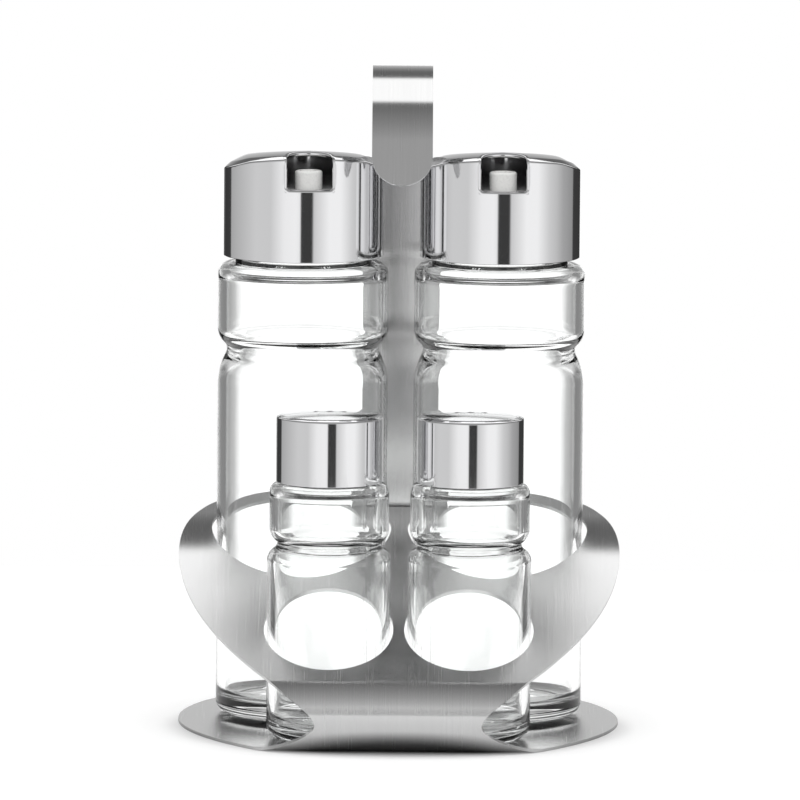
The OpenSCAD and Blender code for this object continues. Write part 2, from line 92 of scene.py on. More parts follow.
# Sizes of a large cap. A bend of its edge is (radius, last tilt, steps), from the upright wall
# to the flat top. The vault is an arch with a bend and a slope on each side, and the wall
# gives way to it over PRESS_DEPTH.
CAP_R, CAP_T = 25.9, 0.8
CAP_BENDS = [(0.9, 30, 9), (18.0, 25, 4), (2.5, 10, 4), (40.0, 2.5, 6), (60.0, 0, 3)]
VAULT_R, VAULT_SIDE_X, VAULT_SIDE_R, VAULT_SLOPE = 110.0, 17.5, 12.0, 21.0
PRESS_DEPTH = 14
CROWN_R, BACK_FALL = 390.0, math.tan(math.radians(3.0))
SILL_Z = CAP_EDGE_Z + 23.5
SLOT_W, SLOT_REACH, SLOT_END = 14.4, 23.2, 7.2
SLOT_CORNER_R, RIM_R = 1.0, 0.9
SLOT_TURN = {"oil": 5.0, "vinegar": 2.0}
SPOUT_R, SPOUT_BORE_R, SPOUT_H, SPOUT_REACH = 4.4, 2.5, 5.9, 19.6

# Sizes of a shaker cap
LID_R, LID_T, LID_CROWN_R = 17.0, 0.6, 140.0
LID_EDGE_Z, LID_TOP_Z = FOOT_Z + 82.3, FOOT_Z + 104.6
LID_BENDS = [(0.8, 31, 9), (8.0, 25, 4), (2.0, 6, 5)]
HOLE_R, HOLE_GAP, HOLE_SINK = 0.85, 4.2, 0.4


# Modelling helpers
def deselect():
    if bpy.context.object and bpy.context.object.mode != "OBJECT":
        bpy.ops.object.mode_set(mode="OBJECT")
    bpy.ops.object.select_all(action="DESELECT")


def choose(piece):
    """Makes the piece the active one and the only one selected."""
    deselect()
    bpy.context.view_layer.objects.active = piece
    piece.select_set(True)


def edit(piece):
    choose(piece)
    bpy.ops.object.mode_set(mode="EDIT")


def pick(piece, kind, wanted):
    """In edit mode, selects the vertices, edges or faces for which wanted(element) is true."""
    bpy.ops.mesh.select_mode(type={"verts": "VERT", "edges": "EDGE", "faces": "FACE"}[kind])
    bpy.ops.mesh.select_all(action="DESELECT")
    mesh = bmesh.from_edit_mesh(piece.data)
    for element in getattr(mesh, kind):
        if wanted(element):
            element.select_set(True)
    mesh.select_flush(True)
    bmesh.update_edit_mesh(piece.data)


def draw_line(name, points, closed=False):
    """A line of edges through points, drawn by extruding one vertex."""
    deselect()
    bpy.ops.mesh.primitive_plane_add(size=MM, location=(0, 0, 0))
    piece = bpy.context.object
    piece.name = piece.data.name = name
    places = [Vector(p) * MM for p in points]
    bpy.ops.object.mode_set(mode="EDIT")
    bpy.ops.mesh.select_mode(type="VERT")
    bpy.ops.mesh.select_all(action="SELECT")
    bpy.ops.mesh.merge(type="CENTER")
    bpy.ops.transform.translate(value=places[0])
    for here, there in zip(places, places[1:]):
        bpy.ops.mesh.extrude_region_move(TRANSFORM_OT_translate={"value": there - here})
    if closed:
        ends = {0, len(places) - 1}
        pick(piece, "verts", lambda v: v.index in ends)
        bpy.ops.mesh.edge_face_add()
    bpy.ops.mesh.select_all(action="SELECT")
    return piece


def close_up():
    """Merges the doubles of the piece in edit mode, turns its faces outwards and leaves it."""
    bpy.ops.mesh.select_all(action="SELECT")
    bpy.ops.mesh.remove_doubles(threshold=0.002 * MM)
    bpy.ops.mesh.normals_make_consistent(inside=False)
    bpy.ops.object.mode_set(mode="OBJECT")


def smooth(piece, angle=32):
    """Smooth shading that leaves sharp edges sharp and large faces flat."""
    choose(piece)
    bpy.ops.object.shade_smooth_by_angle(angle=math.radians(angle))
    apply(piece, "WEIGHTED_NORMAL", keep_sharp=True, weight=100)


def apply(piece, kind, **settings):
    """Adds a modifier and applies it."""
    choose(piece)
    modifier = piece.modifiers.new(kind.title(), kind)
    for key, value in settings.items():
        setattr(modifier, key, value)
    bpy.ops.object.modifier_apply(modifier=modifier.name)


def turned(name, profile, x, y, steps=128):
    """A piece turned on a lathe: profile is a list of (radius, height), round the axis at x, y."""
    piece = draw_line(name, [(x + r, y, z) for r, z in profile])
    bpy.ops.mesh.spin(steps=steps, angle=2 * math.pi,
                      center=(x * MM, y * MM, 0), axis=(0, 0, 1))
    close_up()
    return piece


def prism(name, outline, low, high):
    """A tool for cutting: a closed outline in x and y, raised from low to high."""
    piece = draw_line(name, [(x, y, low) for x, y in outline], closed=True)
    bpy.ops.mesh.edge_face_add()
    bpy.ops.mesh.extrude_region_move(
        TRANSFORM_OT_translate={"value": (0, 0, (high - low) * MM)})
    close_up()
    return piece


def cut(piece, *cutters):
    """Cuts each cutter out of the piece, and takes the cutter away."""
    for cutter in cutters:
        apply(piece, "BOOLEAN", operation="DIFFERENCE", solver="EXACT", object=cutter)
        bpy.data.objects.remove(cutter)


def soften(piece, width, angle=40, segments=2):
    """Breaks the sharp edges of a piece."""
    edit(piece)
    bpy.ops.mesh.select_all(action="SELECT")
    bpy.ops.mesh.remove_doubles(threshold=0.03 * MM)
    bpy.ops.mesh.dissolve_degenerate(threshold=0.01 * MM)
    bpy.ops.object.mode_set(mode="OBJECT")
    apply(piece, "BEVEL", width=width * MM, segments=segments, limit_method="ANGLE",
          angle_limit=math.radians(angle), use_clamp_overlap=True, harden_normals=False)


def arc(cx, cy, radius, start, end, steps):
    """Points on an arc, with its angles in degrees."""
    turn = [math.radians(start + (end - start) * i / steps) for i in range(steps + 1)]
    return [(cx + radius * math.cos(a), cy + radius * math.sin(a)) for a in turn]


def span(low, high, steps):
    """Evenly spaced values from low to high, both included."""
    return [low + (high - low) * i / steps for i in range(steps + 1)]


# The folded sheet
def half_width(y):
    """Half the width of the sheet's outline at y, seen from above."""
    return STAND_W / 2 * (1 - ((y - WIDE_Y) / BULGE_LEN) ** 2)


class SheetPath:
    """The side view of the sheet at mid thickness, followed as a bend list."""

    def __init__(self, y, z, heading):
        self.rows = [(y, z)]
        self.y, self.z, self.heading = y, z, heading

    def straight(self, length, steps):
        y, z, a = self.y, self.z, math.radians(self.heading)
        for i in range(1, steps + 1):
            run = length * i / steps
            self.rows.append((y + run * math.cos(a), z + run * math.sin(a)))
        self.y, self.z = self.rows[-1]

    def bend(self, radius, turn, steps):
        """Bends to the left for a positive turn."""
        y, z, side = self.y, self.z, math.copysign(radius, turn)
        a = math.radians(self.heading)
        for i in range(1, steps + 1):
            b = a + math.radians(turn * i / steps)
            self.rows.append((y + side * (math.sin(b) - math.sin(a)),
                              z - side * (math.cos(b) - math.cos(a))))
        self.y, self.z = self.rows[-1]
        self.heading += turn


def notch_shape(t):
    """How far the notch of the fold has opened, from 0 at its neck (t = 0) to 1 at its mouth
    (t = 1): a rounded bottom with a flare."""
    h = ((math.hypot(t, NOTCH_SHARE) - NOTCH_SHARE)
         / (math.hypot(1, NOTCH_SHARE) - NOTCH_SHARE))
    return h * (1 + FLARE_SHARE * (1 - h))


def sheet_rows():
    """Rows of the sheet from the back of the base, round the fold, to the back of the plate,
    each as (y, z, half width), and the number of the row where the handle starts."""
    mid_r = FOLD_R - SHEET_T / 2
    fold_turn = 180 - PLATE_SLOPE
    back_y = BOTTLE_Y + LOBE_R + 1
    path = SheetPath(back_y, SHEET_T / 2, 180)
    path.straight(back_y - FOLD_Y, 20)
    fold_start = len(path.rows) - 1
    path.bend(mid_r, -fold_turn, 48)
    fold_end = len(path.rows) - 1
    path.straight(PLATE_RUN, 12)
    path.bend(PLATE_CURVE_R, REAR_SLOPE - PLATE_SLOPE, 24)
    crease_y = STRIP_Y - CREASE_R * (1 - math.sin(math.radians(REAR_SLOPE)))
    path.straight((crease_y - path.y) / math.cos(math.radians(REAR_SLOPE)), 4)
    crease = len(path.rows) - 1
    path.straight((back_y - path.y) / math.cos(math.radians(REAR_SLOPE)), 4)
    rows = []
    for i, (y, z) in enumerate(path.rows):
        half = half_width(y)
        if fold_start < i < fold_end:
            t = abs(2 * (i - fold_start) / (fold_end - fold_start) - 1)
            nearer = FOLD_Y if 2 * i < fold_start + fold_end else path.rows[fold_end][0]
            half = NECK_W / 2 + (half_width(nearer) - NECK_W / 2) * notch_shape(t)
        rows.append((y, z, half))
    return rows, crease


def lobe_trim():
    """Outline of what is cut away behind the two lobes."""
    right = arc(BOTTLE_X, BOTTLE_Y + LOBE_R - CORNER_R, CORNER_R, CORNER_START, 90, 16)
    valley = math.degrees(math.acos(-BOTTLE_X / LOBE_R))
    right += arc(BOTTLE_X, BOTTLE_Y, LOBE_R, 90, valley - VALLEY_TRIM, 14)[1:]
    left = [(-x, y) for x, y in reversed(right)]
    far_y = BOTTLE_Y + 2 * LOBE_R
    return ([(STAND_W, far_y), (STAND_W, right[0][1])] + right + left
            + [(-STAND_W, right[0][1]), (-STAND_W, far_y)])


def make_stand():
    """The whole stand, folded from one sheet."""
    rows, crease = sheet_rows()
    # columns of the blank: up to the free edge of the strip, then spread over the half width
    inner = [0, 3.2, 6.5, STRIP_W / 2, STRIP_W / 2 + RELIEF]
    outer_steps = 14
    columns = 2 * (len(inner) - 1 + outer_steps) + 1

    # a flat blank with one row of faces for each step of the bending, then bent into shape
    deselect()
    bpy.ops.mesh.primitive_grid_add(x_subdivisions=columns - 1, y_subdivisions=len(rows) - 1,
                                    size=STAND_W * MM)
    stand = bpy.context.object
    stand.name = stand.data.name = "folded_stand"
    middle = (columns - 1) // 2
    for vertex in stand.data.vertices:
        row, column = divmod(vertex.index, columns)
        y, z, half = rows[row]
        step = abs(column - middle)
        if step < len(inner):
            x = inner[step]
        else:
            x = inner[-1] + (half - inner[-1]) * (step - len(inner) + 1) / outer_steps
        vertex.co = Vector((math.copysign(x, column - middle), y, z)) * MM

    # free the strip from the plate behind the crease, and draw it up into the handle
    crease_y, crease_z = rows[crease][0], rows[crease][1]
    slack = 0.1
    relief = (STRIP_W / 2 + RELIEF + slack) * MM
    edit(stand)
    pick(stand, "faces", lambda f: f.calc_center_median().z > crease_z * MM
         and abs(f.calc_center_median().x) < relief
         and f.calc_center_median().y > crease_y * MM)
    bpy.ops.mesh.delete(type="FACE")
    strip = (STRIP_W / 2 + slack) * MM
    pick(stand, "edges", lambda e: all(
        abs(v.co.y - crease_y * MM) < 1e-5 and v.co.z > 0.02 and abs(v.co.x) < strip
        for v in e.verts))
    path = SheetPath(crease_y, crease_z, REAR_SLOPE)
    path.bend(CREASE_R, 90 - REAR_SLOPE, 8)
    path.straight(HANDLE_TOP - SHEET_T / 2 - REAR_BEND_R - path.z, 12)
    path.bend(REAR_BEND_R, 90, 24)
    path.bend(BOW_R, HOOK_SLOPE, 16)
    path.straight(HOOK_RUN, 3)
    path.bend(LIP_BEND_R, LIP_SLOPE - HOOK_SLOPE, 18)
    lip_r, fall = STRIP_W / 2, math.radians(LIP_SLOPE)
    path.straight((path.z - LIP_BOTTOM) / math.sin(fall) - lip_r, 3)
    for here, there in zip(path.rows, path.rows[1:]):
        bpy.ops.mesh.extrude_region_move(TRANSFORM_OT_translate={
            "value": (0, (there[0] - here[0]) * MM, (there[1] - here[1]) * MM)})
    # the lip ends in a half circle
    turns = [math.radians(a) for a in span(0, 84, 14)]
    widths = [math.cos(a) for a in turns]
    drops = [math.sin(a) for a in turns]
    for i in range(1, len(widths)):
        step = (drops[i - 1] - drops[i]) * lip_r * MM
        bpy.ops.mesh.extrude_region_move(TRANSFORM_OT_translate={
            "value": (0, step * math.cos(fall), step * math.sin(fall))})
        bpy.ops.transform.resize(value=(widths[i] / widths[i - 1], 1, 1),
                                 center_override=(0, path.y * MM, 0))
    bpy.ops.mesh.select_all(action="SELECT")
    bpy.ops.mesh.normals_make_consistent(inside=False)
    bpy.ops.object.mode_set(mode="OBJECT")

    apply(stand, "SOLIDIFY", thickness=SHEET_T * MM, offset=0, use_even_offset=True)
    holes = [(side * BOTTLE_X, BOTTLE_Y, BOTTLE_HOLE_R) for side in (-1, 1)]
    holes += [(side * JAR_X, JAR_Y, JAR_HOLE_R) for side in (-1, 1)]
    cut(stand, prism("lobe_trim", lobe_trim(), -5, 90),
        *[prism("hole", arc(x, y, r, 0, 357, 119), 10, 90) for x, y, r in holes])
    soften(stand, 0.16)
    smooth(stand, 30)
    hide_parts("stand_base", "stand_front_fold", "stand_holder_plate", "stand_handle")
    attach(stand, "stand")
    return stand


# Glass
def groove(r, z, waist_r, waist_z, pinch):
    """One side of a waist: an outward curve from (r, z) into the small pinch at the waist."""
    up = 1 if waist_z > z else -1
    turn = 2 * math.degrees(math.atan((r - waist_r) / abs(waist_z - z)))
    bend = abs(waist_z - z) / math.sin(math.radians(turn)) - pinch
    first = [(x, z + up * (y - z)) for x, y in arc(r - bend, z, bend, 0, turn, 9)]
    last = [(x, waist_z - up * (y - waist_z))
            for x, y in arc(waist_r + pinch, waist_z, pinch, 180 - turn, 180, 6)]
    return first + last[1:]


def vessel_profile(low_r, up_r, wall, floor, foot, waist_z, depth, below, above, pinch, swell,
                   shoulder_z, edge, neck_r, mouth_r, rim_z):
    """Half section of a glass vessel that stands at z = 0: the punt and the round foot, the
    wall with its waist, the shoulder and the neck, and then the inside from rim to floor."""
    waist_r, in_waist = low_r - depth, low_r - depth - wall - swell
    in_low, in_up, punt = low_r - wall, up_r - wall, 1.2
    outer = [(0, punt), (low_r * 0.4, punt * 0.92), (low_r - 2.2 * foot, punt * 0.3)]
    outer += [(low_r - 1.6 * foot, 0.05)] + arc(low_r - foot, foot, foot, -90, 0, 10)
    outer += [(low_r, z) for z in span(foot, waist_z - below, 6)[1:-1]]
    outer += groove(low_r, waist_z - below, waist_r, waist_z, pinch)
    outer += list(reversed(groove(up_r, waist_z + above, waist_r, waist_z, pinch)))[1:]
    outer += arc(up_r - edge, shoulder_z - edge, edge, 0, 90, 12)
    outer += arc(neck_r + 0.3, shoulder_z + 0.3, 0.3, -90, -180, 3)
    outer += arc(neck_r - 0.7, rim_z - 0.7, 0.7, 0, 90, 5)
    inner = arc(mouth_r + 0.7, rim_z - 0.7, 0.7, 90, 180, 5)
    # a round inner shoulder that rises to the mouth at 50 degrees
    lean, bend = math.radians(50), 1.8 * wall
    run = in_up - bend * (1 - math.cos(lean)) - mouth_r
    inner += [(mouth_r, shoulder_z + 1.4), (mouth_r + 0.2, shoulder_z + 0.6)]
    inner += arc(in_up - bend, shoulder_z + 0.8 - bend * math.sin(lean) - run / math.tan(lean),
                 bend, 50, 0, 10)
    inner += groove(in_up, waist_z + above, in_waist, waist_z, 1.6 * pinch)
    inner += list(reversed(groove(in_low, waist_z - below, in_waist, waist_z, 1.6 * pinch)))[1:]
    inner += [(in_low, z) for z in span(waist_z - below, floor + foot, 6)[1:-1]]
    inner += arc(in_low - foot, floor + foot, foot, 0, -90, 10)
    inner += [(in_low * 0.4, floor - 0.15), (0, floor - 0.2)]
    return outer + inner


BOTTLE_PROFILE = vessel_profile(
    low_r=27.5, up_r=27.5, wall=2.8, floor=4.9, foot=3.6, waist_z=118, depth=2.9, below=11.4,
    above=6.7, pinch=3, swell=1.5, shoulder_z=146.0, edge=3.4, neck_r=BOTTLE_NECK[0],
    mouth_r=19.5, rim_z=168.1)
JAR_PROFILE = vessel_profile(
    low_r=19.7, up_r=19.0, wall=2.5, floor=4.0, foot=5.0, waist_z=62.3, depth=3.0, below=5.2,
    above=4.8, pinch=1.6, swell=1.0, shoulder_z=82.0, edge=2.8, neck_r=JAR_NECK[0],
    mouth_r=11.8, rim_z=98.4)


def thread_ridge(name, x, y, neck_r, low, pitch, turns):
    """A rounded screw ridge that winds up the neck."""
    steps_a_turn = 64
    total = int(turns * steps_a_turn)
    section = [(-0.15, -0.75), (0.25, -0.42), (0.36, 0), (0.25, 0.42), (-0.15, 0.75)]
    piece = draw_line(name, [(x + neck_r + r, y, low + z) for r, z in section], closed=True)
    bpy.ops.mesh.edge_face_add()
    bpy.ops.mesh.select_mode(type="FACE")
    turn = 2 * math.pi / steps_a_turn
    lift = Vector((0, 0, pitch / steps_a_turn * MM))
    centre = (x * MM, y * MM, 0)
    for _ in range(total):
        bpy.ops.mesh.extrude_region_move(TRANSFORM_OT_translate={"value": lift})
        bpy.ops.transform.rotate(value=-turn, orient_axis="Z", center_override=centre)
    close_up()
    return piece


def make_glass(who, node, profile, x, y, neck, body):
    """A bottle or a jar with the screw ridge on its neck."""
    neck_r, thread_low, pitch, turns = neck
    glass = turned(who + "_glass", [(r, z + FOOT_Z) for r, z in profile], x, y, 160)
    smooth(glass, 40)
    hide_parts(node)
    ridge = thread_ridge(who + "_neck_thread", x, y, neck_r, thread_low + FOOT_Z, pitch, turns)
    smooth(ridge, 50)
    for piece in (glass, ridge):
        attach(piece, body)
    return glass, ridge


# Steel caps
def vault_drop(x, y):
    """How far the top lies under its highest point, in the cap's own axes: a wide arch, then a
    bend and a slope down to each side, a slight crown, and a slight fall to the back."""
    turn = math.asin(VAULT_SIDE_X / VAULT_R)
    slope = math.radians(VAULT_SLOPE)
    bend_x = (VAULT_R - VAULT_SIDE_R) * math.sin(turn)
    bend_z = (VAULT_R - VAULT_SIDE_R) * math.cos(turn) - VAULT_R
    end_x = bend_x + VAULT_SIDE_R * math.sin(slope)
    x = abs(x)
    if x < VAULT_SIDE_X:
        z = math.sqrt(VAULT_R ** 2 - x * x) - VAULT_R
    elif x < end_x:
        z = bend_z + math.sqrt(VAULT_SIDE_R ** 2 - (x - bend_x) ** 2)
    else:
        z = bend_z + VAULT_SIDE_R * math.cos(slope) - (x - end_x) * math.tan(slope)
    return y * y / (2 * CROWN_R) + (y + CAP_R) * BACK_FALL - z


def cap_edge_profile(inset, start_r=CAP_R, bends=CAP_BENDS, top=CAP_TOP_Z):
    """The edge of a cap from the upright wall to the flat top, as (radius, height), the given
    distance inside the outer face."""
    r, z, tilt = start_r, 0.0, 90.0
    points = [(r - inset, z)]
    for radius, last, steps in bends:
        for step in range(1, steps + 1):
            a = math.radians(tilt + (last - tilt) * step / steps)
            b = math.radians(tilt)
            here = (r - radius * (math.sin(b) - math.sin(a)),
                    z + radius * (math.cos(a) - math.cos(b)))
            points.append((here[0] - inset * math.sin(a), here[1] - inset * math.cos(a)))
        r, z = here
        tilt = last
    return [(pr, pz + top - z) for pr, pz in points]


def slot_outline(half, end, far):
    """The slot seen from above, in the cap's own axes: open to the front, round at the back."""
    back = [(half * math.cos(math.radians(a)),
             end * math.sin(math.radians(a)) - SLOT_REACH) for a in span(0, 180, 36)]
    return [(-half, -far), (half, -far)] + back


def inside_line(points, distance):
    """A line of points moved sideways to its right by distance."""
    moved = []
    for i, (y, z) in enumerate(points):
        before, after = points[max(i - 1, 0)], points[min(i + 1, len(points) - 1)]
        dy, dz = after[0] - before[0], after[1] - before[1]
        length = math.hypot(dy, dz) or 1
        moved.append((y + distance * dz / length, z - distance * dy / length))
    return moved


def thinned(points, gap):
    """Leaves out each point that lies nearer than gap to the last one kept."""
    kept = points[:1]
    for point in points[1:]:
        if math.dist(kept[-1], point) > gap:
            kept.append(point)
    return kept


def slot_rim_line(edge):
    """The middle line of the rolled rim round the slot, in the cap's own axes."""
    half, corner = SLOT_W / 2 + RIM_R, SLOT_CORNER_R + RIM_R
    centre_x, centre_z = SLOT_W / 2 - SLOT_CORNER_R, SILL_Z + SLOT_CORNER_R

    def wall_y(x):
        return -math.sqrt((CAP_R - RIM_R) ** 2 - x * x)

    def steel_z(x, y):
        """Height of the outside of the steel at x, y."""
        r, z = math.hypot(x, y), CAP_TOP_Z
        for (far, low), (near, high) in zip(edge, edge[1:]):
            if near <= r < far:
                z = low + (high - low) * (far - r) / (far - near)
        return z - vault_drop(x, y)

    wall_top = edge[0][1] - vault_drop(half, -CAP_R)
    side = [(-math.sqrt(CAP_R ** 2 - half ** 2), z) for z in span(centre_z, wall_top, 8)[:-1]]
    places = [(-math.sqrt(r * r - half * half), z) for r, z in edge
              if r > math.hypot(half, SLOT_REACH + 0.5)]
    side += [(y, z - vault_drop(half, y)) for y, z in places]
    side += [(-SLOT_REACH, steel_z(half, -SLOT_REACH))]
    side = thinned(inside_line(side, RIM_R), 0.3)
    right = [(centre_x + corner * math.cos(math.radians(a)),
              centre_z + corner * math.sin(math.radians(a))) for a in span(-90, 0, 8)]
    right = [(x, wall_y(x), z) for x, z in right] + [(half, y, z) for y, z in side[1:]]
    arch = [(x, y, steel_z(x, y) - RIM_R)
            for x, y in slot_outline(half, SLOT_END + RIM_R, 40)[3:-1]]
    left = [(-x, y, z) for x, y, z in reversed(right)]
    sill = [(x, wall_y(x), SILL_Z - RIM_R) for x in span(-centre_x, centre_x, 10)[1:-1]]
    return right + arch + left + sill


def make_pour_cap(who):
    """The steel shell of a large cap, with the rolled rim of its pouring slot."""
    x, y = SIDE[who] * BOTTLE_X, BOTTLE_Y
    turn = Matrix.Rotation(math.radians(SLOT_TURN[who]), 2)

    def placed(points):
        return [tuple(Vector((x, y)) + turn @ Vector(p)) for p in points]

    low = CAP_EDGE_Z
    edge, in_edge = cap_edge_profile(0), cap_edge_profile(CAP_T)
    wall_top = edge[0][1]
    rings = span(edge[-1][0], 0, 14)[1:]
    outer = arc(CAP_R - 0.25, low + 0.25, 0.25, -90, 0, 3)
    outer += [(CAP_R, z) for z in span(low + 0.25, wall_top, 8)[1:-1]]
    outer += edge + [(r, CAP_TOP_Z) for r in rings]
    inner = [(r, CAP_TOP_Z - CAP_T) for r in reversed(rings)] + list(reversed(in_edge))
    inner += [(CAP_R - CAP_T, z) for z in reversed(span(low, wall_top, 8)[:-1])]
    shell = turned(who + "_steel_cap", outer + inner + outer[:1], x, y, 180)
    # the flat top is pressed into its vault, and the wall under it gives way
    back = turn.inverted()
    fixed = wall_top - PRESS_DEPTH
    for vertex in shell.data.vertices:
        share = min(1.0, (vertex.co.z / MM - fixed) / (wall_top - CAP_T - fixed))
        if share > 0:
            px, py = back @ Vector((vertex.co.x / MM - x, vertex.co.y / MM - y))
            vertex.co.z -= share * vault_drop(px, py) * MM

    # the slot, with its two lower corners rounded
    cutter = prism("slot", placed(slot_outline(SLOT_W / 2 + RIM_R, SLOT_END + RIM_R, 40)),
                   SILL_Z - RIM_R, CAP_TOP_Z + 10)
    edit(cutter)
    pick(cutter, "edges", lambda e: all(v.co.z < SILL_Z * MM for v in e.verts) and
         abs((back @ Vector((e.verts[0].co.x / MM - x, e.verts[0].co.y / MM - y))).x)
         > SLOT_W / 2 + RIM_R - 0.01 and abs(e.verts[0].co.y - e.verts[1].co.y) > 0.01)
    bpy.ops.mesh.bevel(offset=(SLOT_CORNER_R + RIM_R) * MM, segments=6, affect="EDGES")
    bpy.ops.object.mode_set(mode="OBJECT")
    cut(shell, cutter)
    smooth(shell, 28)
    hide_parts(who + "_cap_shell")

    # the edge of the slot is rolled inward
    spots = [(*placed([(px, py)])[0], pz) for px, py, pz in slot_rim_line(edge)]
    rim = draw_line(who + "_slot_rim", spots, closed=True)
    bpy.ops.object.mode_set(mode="OBJECT")
    bpy.ops.object.convert(target="CURVE")
    rim = bpy.context.object
    rim.data.bevel_depth = RIM_R * MM
    rim.data.bevel_resolution = 5
    bpy.ops.object.convert(target="MESH")
    rim = bpy.context.object
    smooth(rim, 60)
    for piece in (shell, rim):
        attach(piece, who + "_cap_body")
    return shell, rim


def make_spout(who):
    """The short white pipe that stands in the slot, with a rounded rim."""
    x, y = SIDE[who] * BOTTLE_X, BOTTLE_Y
    turn = math.radians(SLOT_TURN[who])
    sx, sy = x + SPOUT_REACH * math.sin(turn), y - SPOUT_REACH * math.cos(turn)
    low, high, outer_r, inner_r = SILL_Z, SILL_Z + SPOUT_H, 0.8, 0.7
    profile = [(SPOUT_BORE_R, low), (SPOUT_R, low), (SPOUT_R, low + 2.4)]
    profile += arc(SPOUT_R - outer_r, high - outer_r, outer_r, 0, 90, 6)
    profile += arc(SPOUT_BORE_R + inner_r, high - inner_r, inner_r, 90, 180, 5)
    profile += [(SPOUT_BORE_R, low)]
    spout = turned(who + "_white_spout", profile, sx, sy, 64)
    smooth(spout, 40)
    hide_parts(who + "_pour_spout")
    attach(spout, who + "_cap_body")
    return spout


def make_sprinkle_cap(who):
    """The steel cap of a shaker, slightly crowned, with three sprinkle holes in a row."""
    x, y = SIDE[who] * JAR_X, JAR_Y

    def crown_z(r):
        return LID_TOP_Z - r * r / (2 * LID_CROWN_R)

    rim_r = cap_edge_profile(0, LID_R, LID_BENDS)[-1][0]
    edge = cap_edge_profile(0, LID_R, LID_BENDS, crown_z(rim_r))
    in_edge = cap_edge_profile(LID_T, LID_R, LID_BENDS, crown_z(rim_r))
    wall = span(LID_EDGE_Z, edge[0][1], 4)
    outer = arc(LID_R - 0.2, LID_EDGE_Z + 0.2, 0.2, -90, 0, 3)
    outer += [(LID_R, z) for z in span(LID_EDGE_Z + 0.2, edge[0][1], 4)[1:-1]] + edge
    outer += [(r, crown_z(r)) for r in span(rim_r, 0, 12)[1:]]
    inner = [(r, z - LID_T) for r, z in reversed(outer[-12:])] + list(reversed(in_edge))
    inner += [(LID_R - LID_T, z) for z in reversed(wall[:-1])]
    shell = turned(who + "_steel_cap", outer + inner + outer[:1], x, y, 128)
    spots = [Vector((x + k * HOLE_GAP, y)) * MM for k in (-1, 0, 1)]
    cut(shell, *[prism("sprinkle", arc(*(spot / MM), HOLE_R, 0, 348.75, 31),
                       LID_TOP_Z - 4, LID_TOP_Z + 4) for spot in spots])
    # each hole is a little sunk at its upper edge
    edit(shell)
    pick(shell, "edges", lambda e: all(
        v.co.z > (LID_TOP_Z - 0.25) * MM
        and min((v.co.xy - spot).length for spot in spots) < (HOLE_R + 0.05) * MM
        for v in e.verts))
    bpy.ops.mesh.bevel(offset=HOLE_SINK * MM, segments=1, affect="EDGES")
    bpy.ops.object.mode_set(mode="OBJECT")
    smooth(shell, 35)
    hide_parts(who + "_cap_shell")
    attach(shell, who + "_cap_body")
    return shell


# Materials
def new_material(name):
    material = bpy.data.materials.new(name)
    material.use_nodes = True
    tree = material.node_tree
    return material, tree, tree.nodes["Principled BSDF"]


def node(tree, kind, links=None, **settings):
    """Adds a shader node; links maps its inputs to sockets or plain values."""
    made = tree.nodes.new(kind)
    for key, value in settings.items():
        setattr(made, key, value)
    for key, value in (links or {}).items():
        if isinstance(value, bpy.types.NodeSocket):
            tree.links.new(value, made.inputs[key])
        else:
            made.inputs[key].default_value = value
    return made


def maths(tree, operation, a, b=0.0, c=0.0):
    return node(tree, "ShaderNodeMath", {0: a, 1: b, 2: c}, operation=operation).outputs[0]


def blend(tree, factor, a, b):
    """a where the factor is 0, and b where it is 1."""
    return node(tree, "ShaderNodeMix", {"Factor": factor, "A": a, "B": b},
                data_type="FLOAT").outputs["Result"]


def stretched(tree, scale):
    """Object coordinates stretched by scale, for grain."""
    place = node(tree, "ShaderNodeTexCoord")
    return node(tree, "ShaderNodeMapping",
                {"Vector": place.outputs["Object"], "Scale": scale}).outputs["Vector"]


def noise(tree, stretch, **settings):
    """Noise from 0 to 1 in Object coordinates stretched by stretch."""
    return node(tree, "ShaderNodeTexNoise", {"Vector": stretched(tree, stretch),
                "Scale": 1.0, **settings}).outputs["Fac"]


def spread(tree, value, low, high):
    """Maps 0..1 to low..high."""
    return node(tree, "ShaderNodeMapRange",
                {"Value": value, "To Min": low, "To Max": high}).outputs["Result"]


def clamped(tree, value, low, high, **settings):
    """Maps low..high to 0..1, and stays at 0 or 1 beyond them."""
    return node(tree, "ShaderNodeMapRange",
                {"Value": value, "From Min": low, "From Max": high}, **settings).outputs["Result"]


def roughen(tree, skin, height, strength, distance):
    """Bump from a height pattern; distance is in millimetres."""
    bump = node(tree, "ShaderNodeBump", {"Height": height, "Strength": strength,
                "Distance": distance * MM})
    tree.links.new(bump.outputs["Normal"], skin.inputs["Normal"])


def brushed_sheet_steel():
    """Satin steel with long grain lines that run up the sheet."""
    material, tree, skin = new_material("brushed_sheet_steel")
    fine = noise(tree, (5200, 22, 22), Detail=3.0, Roughness=0.6)
    broad = noise(tree, (700, 7, 7), Detail=2.0)
    tone = blend(tree, 0.4, spread(tree, fine, 0.60, 0.86), spread(tree, broad, 0.69, 0.77))
    colour = node(tree, "ShaderNodeCombineColor", {"Red": tone, "Green": tone, "Blue": tone})
    tree.links.new(colour.outputs["Color"], skin.inputs["Base Color"])
    tree.links.new(spread(tree, fine, 0.22, 0.30), skin.inputs["Roughness"])
    skin.inputs["Metallic"].default_value = 1.0
    # the grain spreads reflections sideways
    skin.inputs["Anisotropic"].default_value = 0.93
    skin.inputs["Anisotropic Rotation"].default_value = 0.25
    tangent = node(tree, "ShaderNodeTangent", direction_type="RADIAL", axis="X")
    tree.links.new(tangent.outputs["Tangent"], skin.inputs["Tangent"])
    roughen(tree, skin, fine, 0.04, 0.05)
    return material


